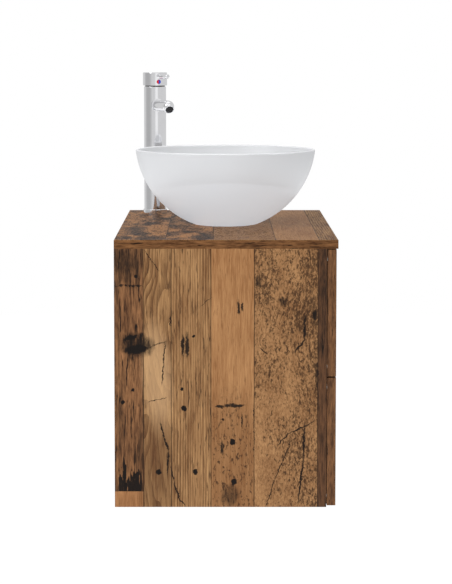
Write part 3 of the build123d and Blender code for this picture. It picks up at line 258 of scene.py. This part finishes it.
def ribbed(s, offset, light=srgb(182, 140, 94), dark=srgb(110, 73, 42)):
    """Straight-grained plank with close dark lines."""
    drift = s.grain(22, 10, 3, 0.5, 0.1, offset)
    phase = s.math("MULTIPLY_ADD", drift, 3.6, s.math("MULTIPLY", s.u, 215.0))
    lines = s.rings(phase, 2.4)
    depth = s.range(s.grain(60, 10, 3, 0.6, 0.2, offset + 4), 0.36, 0.60, 0.25, 0.95)
    fine = s.grain(420, 20, 5, 0.7, 0.1, offset + 2)
    cloud = s.grain(34, 4.5, 3, 0.55, 0.2, offset + 5)
    colour = plank_colours(s, light, dark, fine, cloud)
    colour = s.mix(s.math("MULTIPLY", lines, depth), colour, srgb(70, 42, 23))
    pores = dashes(s, offset + 8, 380, 0.56, 0.65)
    colour = s.mix(s.math("MULTIPLY", pores, 0.75), colour, CHAR)
    return Look(colour, s.math("MULTIPLY_ADD", lines, -0.6, fine))


def smooth(s, offset, light=srgb(178, 132, 87), dark=srgb(128, 84, 48)):
    """Planed plank of even colour."""
    fine = s.grain(520, 20, 5, 0.7, 0.1, offset)
    cloud = s.grain(26, 4.5, 4, 0.6, 0.3, offset + 3)
    colour = plank_colours(s, light, dark, fine, cloud, 0.9)
    pores = dashes(s, offset + 8, 430, 0.57, 0.67)
    colour = s.mix(s.math("MULTIPLY", pores, 0.5), colour, srgb(84, 51, 27))
    return Look(colour, fine)


def pitted(s, offset, light=srgb(178, 134, 90), dark=srgb(106, 69, 39)):
    """Rough-sawn plank, dotted all over with small dark pits."""
    fine = s.grain(300, 2, 5, 0.72, 0.3, offset)
    cloud = s.grain(30, 2, 4, 0.6, 0.3, offset + 3)
    colour = plank_colours(s, light, dark, fine, cloud, 0.8)
    crowd = s.range(s.grain(20, 2, 3, 0.6, 0.2, offset + 8), 0.34, 0.60, -0.05, 0.055)
    right = s.range(s.u, 0.255, 0.345, -0.02, 0.03)
    upper = s.range(s.v, 0.10, 0.42, -0.01, 0.045)
    level = s.math("ADD", s.math("ADD", crowd, right), upper)
    pits = s.math("ADD", s.grain(235, 2, 4, 0.66, 0.6, offset + 6), level)
    pits = s.range(pits, 0.54, 0.63)
    small = s.math("ADD", s.grain(420, 2, 2, 0.5, 0.4, offset + 5), level)
    pits = s.math("MAXIMUM", pits, s.range(small, 0.56, 0.66, 0.0, 0.8))
    colour = s.mix(s.math("MULTIPLY", pits, 0.85), colour, srgb(50, 30, 16))
    return Look(colour, s.math("SUBTRACT", fine, pits))


def charred(s, offset, light=srgb(104, 70, 45), dark=srgb(24, 15, 10)):
    """Nearly black plank with brown streaks."""
    fine = s.grain(300, 10, 5, 0.7, 0.2, offset)
    cloud = s.grain(60, 4.5, 4, 0.65, 0.4, offset + 3)
    return Look(plank_colours(s, light, dark, fine, cloud), fine)


def mottled(s, offset, light=srgb(176, 124, 76), dark=srgb(46, 28, 17)):
    """Dark plank with burnt clouds and lighter scuffs."""
    fine = s.grain(260, 4.5, 5, 0.72, 0.4, offset)
    cloud = s.grain(30, 2, 5, 0.66, 0.6, offset + 3)
    value = s.math("MULTIPLY_ADD", cloud, 0.7, s.math("MULTIPLY", fine, 0.4))
    colour = s.mix(s.range(value, 0.47, 0.63), dark, light)
    pores = dashes(s, offset + 8, 300, 0.55, 0.64)
    colour = s.mix(s.math("MULTIPLY", pores, 0.8), colour, BLACK)
    return Look(colour, fine)


def board(s, planks):
    """Lays planks of (style, width in mm, seed offset) side by side and returns colour and height."""
    low = 0.0
    look = None
    gaps = None
    for style, width, offset in planks:
        made = style(s, offset)
        if look is None:
            look = made
        else:
            here = s.range(s.u, low - 0.0003, low + 0.0003)
            look.colour = s.mix(here, look.colour, made.colour)
            look.height = s.mix(here, look.height, made.height)
            line = s.range(s.math("ABSOLUTE", s.math("SUBTRACT", s.u, low)), GAP_SOFT, GAP_HALF)
            gaps = line if gaps is None else s.math("MAXIMUM", gaps, line)
        low += width * MM
    worn = s.range(s.grain(30, 4.5, 2, offset=61), 0.35, 0.6, 0.35, 0.9)
    s.gaps = s.math("MULTIPLY", gaps, worn)
    return look


def finish_board(s, look, face_axis, edge_along, gloss=0.5):
    """Mixes planks on the faces with the banding on the edges and adds the embossed surface."""
    colour = look.colour
    if s.dark is not None:
        # Fine grain eats into the burnt and split places, so that none has a drawn outline.
        eaten = s.math("MULTIPLY_ADD", s.grain(260, 4.5, 4, 0.7, 0.3, 91), 1.5, -0.75)
        dark = s.range(s.math("ADD", s.dark, eaten), 0.12, 0.80)
        colour = s.mix(s.math("MULTIPLY", dark, s.math("POWER", s.dark, 0.3)), colour, BLACK)
    colour = s.mix(s.gaps, colour, BLACK)
    normal = s.node("SeparateXYZ", {0: s.node("TexCoord").outputs["Normal"]})
    facing = s.math("ABSOLUTE", normal.outputs["XYZ".index(face_axis)])
    on_face = s.math("GREATER_THAN", facing, 0.7)
    edge = edge_band(s, edge_along)
    colour = s.mix(on_face, edge.colour, colour)
    height = s.mix(on_face, edge.height, look.height)
    rough = s.range(height, 0.2, 0.8, gloss + 0.10, gloss - 0.04)
    rounded = s.node("Bevel", {"Radius": ROUNDING}, samples=4).outputs[0]
    return s.finish(Base_Color=colour, Roughness=rough, Normal=s.bump(height, EMBOSS, 0.8, rounded))


def edge_band(s, along):
    """Edge banding: brown with short dark dashes that run along the edge."""
    place = s.scaled([1 / 9 if axis == along else 1 for axis in "XYZ"])
    fine = s.noise(place, 520, 4, 0.6)
    cloud = s.noise(place, 150, 2, 0.5)
    colour = plank_colours(s, srgb(130, 90, 57), srgb(72, 46, 28), fine, cloud)
    knots = s.range(s.noise(place, 260, 3, 0.6), 0.58, 0.66)
    colour = s.mix(knots, colour, srgb(34, 23, 17))
    return Look(colour, s.math("SUBTRACT", fine, knots))


def depth_of(s):
    """Distance forward from the countertop's back edge."""
    return s.math("SUBTRACT", BACK_Y, s.axes()[1])


def side_board(name, along, seed):
    """Side panel: six planks stand side by side from its back edge to its front."""
    s = Planks(name, depth_of, along, seed)
    planks = [
        (weathered, 50, 1),
        (wavy, 48, 11),
        (ribbed, 68.5, 21),
        (smooth, 74.5, 31),
        (pitted, 109.5, 41),
        (charred, 40, 51),
    ]
    look = board(s, planks)
    # The foot of the dark plank is a lighter offcut.
    foot = s.math("MULTIPLY", s.range(s.v, OFFCUT_TOP, OFFCUT_TOP - 0.0006), s.between(0, 0.050))
    offcut = smooth(s, 71, srgb(170, 122, 80), srgb(118, 76, 42))
    look.colour = s.mix(foot, look.colour, offcut.colour)
    # A lighter worn stretch runs up the wavy plank, and a darker one lies under it.
    worn = s.math("MULTIPLY", s.mark(74, 225, 20, 75, 4, 1.2), 0.55)
    look.colour = s.mix(worn, look.colour, srgb(196, 158, 116))
    darker = s.math("MULTIPLY", s.mark(74, 70, 30, 65, 0, 1.4), 0.45)
    look.colour = s.mix(darker, look.colour, srgb(92, 62, 38))
    # The smooth plank is darker and scarred at its lower end.
    lower = s.math("MULTIPLY", s.mark(204, 60, 46, 110, 0, 1.2), s.between(0.1665, 0.2405))
    look.colour = s.mix(s.math("MULTIPLY", lower, 0.35), look.colour, srgb(96, 62, 36))
    scars = s.range(s.grain(210, 2, 4, 0.62, 0.9, 87), 0.54, 0.62)
    look.colour = s.mix(s.math("MULTIPLY", scars, s.math("MULTIPLY", lower, 0.85)), look.colour, CHAR)
    # Smoky patch at the top of the dark plank.
    s.darken(s.mark(22, 425, 22, 26, 0, 1.5), 0.62)
    # Knot that breaks out between the first two planks, with its burnt heart.
    s.darken(s.mark(38, 284, 27, 18, -6, 1.1), 0.8)
    s.darken(s.mark(38, 276, 22, 9, 6, 0.7))
    s.darken(s.mark(28, 296, 14, 4, 14, 0.9))
    s.darken(s.crack([(52, 276), (66, 282), (88, 289)], 3.0), 0.75)
    # Burnt foot of the dark plank, ragged at its upper end.
    burnt = s.range(s.grain(95, 4.5, 3, 0.6, 0.3, 83), 0.30, 0.62, 0.026, 0.075)
    under = s.math("LESS_THAN", s.v, burnt)
    above = s.math("GREATER_THAN", s.v, OFFCUT_TOP)
    column = s.between(0.006, 0.047, 0.002)
    s.darken(s.math("MULTIPLY", s.math("MULTIPLY", under, above), column), 0.95)
    # Butt joint across the dark plank, with a row of nails.
    s.darken(s.crack([(2, 386), (26, 387), (49, 385)], 1.6), 0.7)
    for place in (12, 21, 27, 33, 41):
        s.darken(s.mark(place, 386, 2.4, 2.6), 0.8)
    # Nail holes: place across, place along, radius.
    holes = [
        (37.6, 403, 3.2),
        (75.5, 62, 4.4),
        (139, 62, 4.2),
        (204, 114, 5.0),
        (206, 44, 5.0),
        (187, 153, 2.2),
        (32, 205, 3.0),
        (14, 184, 3.4),
        (116, 207, 3.0),
        (120, 173, 4.0),
        (137, 299, 2.4),
    ]
    for u, v, radius in holes:
        s.darken(s.mark(u, v, radius, radius * 1.15, 0, 0.4))
    # Slots where the grain has split open.
    for u, v, half_u, half_v in [
        (118, 283, 2.6, 17),
        (125.5, 283, 3.2, 20),
        (97, 325, 1.4, 9),
        (214, 349, 2.2, 12),
        (220, 350, 1.6, 7),
        (220, 153, 1.4, 11),
        (186, 104, 2.8, 12),
        (206, 178, 17, 3.2),
        (182, 176, 8, 2.6),
        (345, 335, 4, 10),
    ]:
        s.darken(s.mark(u, v, half_u, half_v, 0, 0.8), 0.85)
    # Cracks, as points across and along the board.
    for points, width in [
        ([(53, 447), (64, 430), (75, 414)], 1.4),
        ([(87, 286), (85, 250), (82, 218)], 2.0),
        ([(60, 184), (75, 188), (89, 191)], 1.4),
        ([(79, 146), (86, 122), (93, 100), (91, 60)], 3.0),
        ([(97, 70), (102, 45), (112, 14), (122, 2)], 2.6),
        ([(328, 332), (327, 292), (312, 272)], 3.6),
        ([(304, 113), (290, 80), (276, 48), (262, 2)], 1.6),
        ([(328, 143), (326, 85), (318, 10)], 3.4),
        ([(342, 150), (300, 128), (284, 112)], 2.0),
        ([(251, 278), (262, 270)], 2.2),
        ([(150, 352), (166, 365)], 1.0),
        ([(240, 178), (241, 140), (241, 90)], 1.2),
    ]:
        s.darken(s.crack(points, width), 0.9)
    # Soft stains.
    stains = [(248, 394, 5, 9), (290, 360, 7, 6), (349, 230, 3, 20), (200, 20, 14, 16)]
    for u, v, half_u, half_v in stains:
        s.darken(s.mark(u, v, half_u, half_v, 0, 1.3), 0.65)
    return finish_board(s, look, "X", edge_along="Z")


def front_board(name, seed, low, planks, marks):
    """Drawer front: planks lie across it, from its lower edge up.

    Marks are (u, v, half_u, half_v, turn), in mm and degrees.
    """
    start = low - FRONT_START
    s = Planks(name, lambda s: s.math("SUBTRACT", s.axes()[2], start), lambda s: s.axes()[0], seed)
    look = board(s, planks)
    # Nails in loose rows, each with a short split beside it.
    for index in range(9):
        u = (37 + 71 * index + 13 * seed) % 205 + 8
        v = -270 + 66 * index + 9 * seed
        s.darken(s.mark(u, v, 3.2, 3.6, 0, 0.4))
        s.darken(s.mark(u + 17, v + 21, 1.6, 15, 0, 0.8), 0.8)
    for u, v, half_u, half_v, turn in marks:
        s.darken(s.mark(u, v, half_u, half_v, turn, 0.9), 0.85)
    return finish_board(s, look, "Y", edge_along="Z")


def top_board(name):
    """Countertop: planks run along its length, dark at the back and lighter at the front."""
    s = Planks(name, depth_of, lambda s: s.axes()[0], 5.0)
    planks = [
        (mottled, 88, 1),
        (mottled, 82.5, 11),
        (pitted, 107, 21),
        (smooth, 75, 31),
        (ribbed, 40, 41),
    ]
    look = board(s, planks)
    nails = [(40, -250, 4), (120, -180, 3.4), (230, -262, 3), (300, 120, 4), (60, 90, 4)]
    for u, v, radius in nails:
        s.darken(s.mark(u, v, radius, radius, 0, 0.5))
    burns = [(60, -270, 20, 34), (150, -255, 16, 40), (30, -120, 16, 60), (140, 60, 18, 50)]
    for u, v, half_u, half_v in burns:
        s.darken(s.mark(u, v, half_u, half_v, 0, 1.5), 0.7)
    # Almost no sheen: at this grazing view it would turn the dark planks grey.
    s.surface.inputs["Specular IOR Level"].default_value = 0.04
    return finish_board(s, look, "Z", edge_along="Y", gloss=0.40)


def hidden_board(name, across, along, face):
    """Bottom panel or back rail, with planks along the cabinet's width."""
    s = Planks(name, across, along, 14.0)
    look = board(s, [(smooth, 150, 1), (ribbed, 110, 11), (smooth, 90, 21), (pitted, 120, 31)])
    return finish_board(s, look, face, edge_along="X")


# ------------------------------------------------------------------ other materials
def ceramic(name, colour, roughness):
    """Glazed or pressed ceramic with faint specks and a slow swell."""
    s = Shader(name, IOR=1.5)
    speck = s.noise(s.place, 900, 3)
    swell = s.noise(s.place, 26, 2)
    tone = s.mix(s.range(speck, 0.62, 0.78, 0, 0.10), colour, srgb(176, 174, 170))
    rough = s.range(swell, 0.3, 0.7, roughness - 0.04, roughness + 0.05)
    return s.finish(Base_Color=tone, Roughness=rough, Normal=s.bump(swell, 0.0002, 0.25))


def chrome(name):
    """Polished plating with a thin film of water marks."""
    s = Shader(name, Metallic=1.0)
    film = s.noise(s.place, 45, 3)
    brush = s.noise(s.place, 1400, 2)
    rough = s.math("MULTIPLY_ADD", brush, 0.02, s.range(film, 0.35, 0.7, 0.035, 0.085))
    tone = s.mix(s.range(film, 0.4, 0.75, 0.0, 0.35), srgb(244, 244, 246), srgb(230, 230, 233))
    return s.finish(Base_Color=tone, Roughness=rough, Normal=s.bump(film, 0.00012, 0.12))


def metal(name, light, dark, roughness, stretch=(1, 1, 1)):
    """Plated or turned metal with fine lines in one direction."""
    s = Shader(name, Metallic=1.0)
    lines = s.noise(s.scaled(stretch), 1200, 3)
    bloom = s.noise(s.place, 60, 3)
    tone = s.mix(s.math("MULTIPLY_ADD", bloom, 0.6, s.math("MULTIPLY", lines, 0.4)), dark, light)
    rough = s.range(lines, 0.3, 0.7, roughness - 0.06, roughness + 0.08)
    return s.finish(Base_Color=tone, Roughness=rough, Normal=s.bump(lines, 0.00004, 0.4))


def plastic(name, colour, shade, roughness, grain=1100, depth=0.00003):
    """Moulded plastic or rubber with a fine pebble."""
    s = Shader(name, IOR=1.46)
    pebble = s.noise(s.place, grain, 2)
    cloud = s.noise(s.place, 35, 2)
    tone = s.mix(s.range(cloud, 0.3, 0.7), shade, colour)
    rough = s.range(pebble, 0.3, 0.7, roughness - 0.05, roughness + 0.06)
    return s.finish(Base_Color=tone, Roughness=rough, Normal=s.bump(pebble, depth, 0.6))


def melamine(name):
    """Pale drawer board with a faint linen emboss."""
    s = Shader(name, IOR=1.46)
    linen = s.noise(s.scaled((1, 0.12, 1)), 700, 3)
    cloud = s.noise(s.place, 12, 2)
    tone = s.mix(s.range(linen, 0.35, 0.65), srgb(196, 192, 184), srgb(208, 204, 197))
    tone = s.mix(s.range(cloud, 0.3, 0.7, 0, 0.3), tone, srgb(200, 195, 186))
    rough = s.range(linen, 0.3, 0.7, 0.5, 0.62)
    return s.finish(Base_Color=tone, Roughness=rough, Normal=s.bump(linen, 0.00006, 0.5))


def beech(name):
    """Fluted beech dowel, with lines along its length."""
    s = Shader(name)
    lines = s.noise(s.scaled((0.15, 1, 1)), 900, 3)
    tone = s.mix(s.range(lines, 0.35, 0.65), srgb(176, 132, 88), srgb(206, 168, 122))
    rough = s.range(lines, 0.3, 0.7, 0.6, 0.75)
    return s.finish(Base_Color=tone, Roughness=rough, Normal=s.bump(lines, 0.0001, 0.5))


# ------------------------------------------------------------------ paint the frame
RIGHT_TOP = 0.448  # m; the right panel's decor runs down from here, so the two sides differ

left = side_board("old_planks_left", lambda s: s.axes()[2], 1.0)
right = side_board("old_planks_right", lambda s: s.math("SUBTRACT", RIGHT_TOP, s.axes()[2]), 9.0)
paint(left, "side_panel_left")
paint(right, "side_panel_right")
paint(top_board("old_planks_top"), "countertop")

FRONT_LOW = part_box("lower_drawer_front")[0][2]
UPPER_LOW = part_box("upper_drawer_front")[0][2]
LOWER_PLANKS = [(smooth, 42, 1), (pitted, 61, 11), (ribbed, 55, 21), (wavy, 47, 31), (weathered, 60, 41)]
UPPER_PLANKS = [(ribbed, 58, 1), (mottled, 47, 11), (smooth, 66, 21), (weathered, 34, 31), (wavy, 60, 41)]
LOWER_MARKS = [(70, 150, 13, 22, -6), (178, -205, 9, 17, 12), (33, -40, 1.2, 70, 2)]
UPPER_MARKS = [(120, -90, 11, 20, 8), (196, 214, 12, 24, -10), (34, 120, 1.2, 64, -3)]
lower = front_board("old_planks_lower_front", 2.0, float(FRONT_LOW), LOWER_PLANKS, LOWER_MARKS)
upper = front_board("old_planks_upper_front", 3.0, float(UPPER_LOW), UPPER_PLANKS, UPPER_MARKS)
paint(lower, "lower_drawer_front")
paint(upper, "upper_drawer_front")

bottom = hidden_board("old_planks_bottom", depth_of, lambda s: s.axes()[0], "Z")
rails = hidden_board("old_planks_rails", lambda s: s.axes()[2], lambda s: s.axes()[0], "Y")
paint(bottom, "bottom_panel")
paint(rails, "back_rails")

paint(ceramic("matt_white_glaze", srgb(198, 199, 201), 0.42), "basin")
paint(ceramic("disc_ceramic", srgb(226, 220, 208), 0.3), "fixed_ceramic_disc", "moving_ceramic_disc")
paint(
    chrome("polished_chrome"),
    "tap_body",
    "tap_base_ring",
    "spout_tube",
    "spout_seal",
    "nozzle",
    "handle_cap",
    "handle_lever",
    "waste_body",
    "waste_plug",
)

# Name, light and dark tone, roughness, stretch of the lines, and the nodes that get it.
METALS = [
    (
        "zinc_plate",
        (196, 196, 198),
        (150, 152, 156),
        0.34,
        (1, 1, 1),
        ["cam_locks", "cam_lock_bolts", "upper_drawer_fittings", "lower_drawer_fittings", "wall_plates"],
    ),
    (
        "runner_steel",
        (186, 188, 190),
        (140, 143, 148),
        0.30,
        (1, 0.04, 1),
        [
            "runner_outer_rails",
            "upper_runner_middle_rails",
            "lower_runner_middle_rails",
            "upper_runner_inner_rails",
            "lower_runner_inner_rails",
        ],
    ),
    (
        "turned_steel",
        (188, 188, 190),
        (146, 147, 150),
        0.28,
        (1, 1, 1),
        ["tap_stud", "tap_clamp_washer", "lever_pivot_pin"],
    ),
    (
        "machined_brass",
        (214, 176, 104),
        (176, 136, 72),
        0.26,
        (1, 1, 1),
        ["waste_backnut", "tap_clamp_nut"],
    ),
    ("dark_nickel", (96, 95, 94), (62, 61, 60), 0.35, (1, 1, 1), ["cartridge_nut"]),
]
for name, light, dark, roughness, stretch, painted in METALS:
    paint(metal(name, srgb(*light), srgb(*dark), roughness, stretch), *painted)

paint(
    melamine("drawer_board"),
    "upper_drawer_sides",
    "lower_drawer_sides",
    "upper_drawer_base",
    "lower_drawer_base",
    "upper_drawer_backs",
    "lower_drawer_back",
)
paint(beech("beech_dowel"), "dowels")

# Name, tone, shade, (roughness, pebbles per metre, their depth), and the nodes that get it.
PLASTICS = [
    ("clear_rubber", (206, 206, 200), (190, 190, 184), (0.45,), ["bumpers"]),
    ("grey_plastic", (124, 124, 126), (110, 110, 112), (0.5, 900), ["upper_drawer_trap_guard"]),
    (
        "white_trap_plastic",
        (234, 233, 229),
        (224, 223, 218),
        (0.22, 500),
        ["trap_inlet_pipe", "trap_body", "trap_cup", "trap_nuts", "trap_outlet_pipe"],
    ),
    (
        "black_rubber",
        (42, 42, 43),
        (30, 30, 31),
        (0.62, 700, 0.00006),
        ["waste_seals", "plug_seal", "tap_seals"],
    ),
    (
        "cartridge_plastic",
        (98, 98, 102),
        (82, 82, 86),
        (0.42,),
        ["cartridge_housing", "cartridge_rotor", "cartridge_stem", "click_cartridge"],
    ),
    ("riser_tube", (214, 212, 206), (200, 198, 190), (0.4,), ["tap_risers"]),
    ("aerator_plastic", (58, 58, 60), (40, 40, 42), (0.45,), ["aerator"]),
    ("hot_red", (214, 34, 36), (190, 26, 30), (0.25,), ["hot_mark"]),
    ("cold_blue", (34, 78, 205), (24, 62, 180), (0.25,), ["cold_mark"]),
]
for name, tone, shade, surface, painted in PLASTICS:
    paint(plastic(name, srgb(*tone), srgb(*shade), *surface), *painted)

# ------------------------------------------------------------------ studio
EYE = Vector((-3.522, 0.0146, 0.7936))
PITCH = math.radians(-4.92)
LENS = 116.6  # mm
SENSOR = 36  # mm
SHIFT = (0.0144, -0.14)  # takes over part of the tilt, so that verticals stay nearly upright


def area_light(name, place, aim, size, power, colour=(1, 1, 1)):
    """A rectangular lamp at place, turned toward aim; size in metres, power in watts."""
    data = bpy.data.lights.new(name, "AREA")
    data.shape = "RECTANGLE"
    data.size, data.size_y = size
    data.energy = power
    data.color = colour
    lamp = bpy.data.objects.new(name, data)
    bpy.context.scene.collection.objects.link(lamp)
    lamp.location = place
    lamp.rotation_euler = (Vector(aim) - Vector(place)).to_track_quat("-Z", "Y").to_euler()
    return lamp


area_light("key", (-2.2, 2.6, 2.6), (0, 0, 0.45), (1.6, 1.6), 40)
area_light("top", (0.2, 0.2, 3.2), (0, 0, 0.4), (2.4, 2.4), 8)
low_fill = area_light("low_fill", (-3.0, 1.0, 0.72), (0, 0, 0.5), (2.4, 0.6), 17)
low_fill.visible_glossy = False

# White cards under and over the bowl, as reflectors would give; they light the bowl only.
BOWL = (0, 0, 0.5)
CARD_SIZE = (0.8, 0.8)
COOL = (0.89, 0.945, 1.0)  # takes the countertop's brown back out of the bowl's underside
lit = bpy.data.collections.new("lit_by_cards")
lit.objects.link(nodes["basin"])
card_under = area_light("card_under", (-0.25, 0, -0.45), BOWL, CARD_SIZE, 15.0, COOL)
card_over = area_light("card_over", (0, 0, 1.9), BOWL, CARD_SIZE, 15.0)
for card in (card_under, card_over):
    card.visible_glossy = False
    card.light_linking.receiver_collection = lit
    card.light_linking.blocker_collection = lit

world = bpy.data.worlds.new("studio")
bpy.context.scene.world = world
world.use_nodes = True
WHITE = (1.0, 1.0, 1.0, 1)


class Room(Shader):
    """The studio's walls: even light, a little darker on one side; plain white to look at."""

    DARK_WALL = (-0.28, 0.96, 0.0)
    PALE_WALL = (-0.95, -0.31, 0.0)
    EVEN, DARK, STRIP = 0.66, 0.44, 0.25

    def __init__(self, tree):
        self.tree = tree
        dark = self.toward(self.DARK_WALL)
        pale = self.toward(self.PALE_WALL)
        level = self.range(dark, 0.66, 1.0, self.EVEN, self.DARK, smooth=True)
        level = self.math("ADD", level, self.range(pale, 0.93, 1.0, 0.0, self.STRIP, smooth=True))
        seen = self.node("LightPath").outputs["Is Camera Ray"]
        self.set(tree.nodes["Background"].inputs["Color"], self.mix(seen, level, WHITE))

    def toward(self, wall):
        """1 looking straight at a wall, and less away from it."""
        look = self.node("TexCoord").outputs["Generated"]
        return self.node("VectorMath", {0: look, 1: wall}, operation="DOT_PRODUCT").outputs["Value"]


Room(world.node_tree)

# The floor lights the object a little from below, and is plain white to look at.
FLOOR_Z = -0.55
FLOOR_RADIUS = 6.0
FLOOR_GLOW = 0.45
bpy.ops.mesh.primitive_circle_add(
    vertices=96, radius=FLOOR_RADIUS, fill_type="NGON", location=(0, 0, FLOOR_Z)
)
floor = bpy.context.object
floor.name = "studio_floor"
pale = Shader("pale_floor", Roughness=0.9)
grit = pale.noise(pale.place, 300, 2)
seen = pale.node("LightPath").outputs["Is Camera Ray"]
glow = pale.range(seen, 0, 1, FLOOR_GLOW, 1.0)
pale.surface.inputs["Emission Color"].default_value = WHITE
paper = pale.mix(grit, (0.86, 0.86, 0.86, 1), (0.9, 0.9, 0.9, 1))
shade = pale.mix(seen, paper, (0, 0, 0, 1))
floor.data.materials.append(pale.finish(Base_Color=shade, Emission_Strength=glow))

camera_data = bpy.data.cameras.new("camera")
camera_data.lens = LENS
camera_data.sensor_width = SENSOR
camera_data.shift_x, camera_data.shift_y = SHIFT
camera = bpy.data.objects.new("camera", camera_data)
bpy.context.scene.collection.objects.link(camera)
camera.location = EYE
direction = Vector((math.cos(PITCH), 0, math.sin(PITCH)))
camera.rotation_mode = "QUATERNION"
camera.rotation_quaternion = direction.to_track_quat("-Z", "Y")
bpy.context.scene.camera = camera
bpy.context.scene.view_settings.view_transform = "Standard"
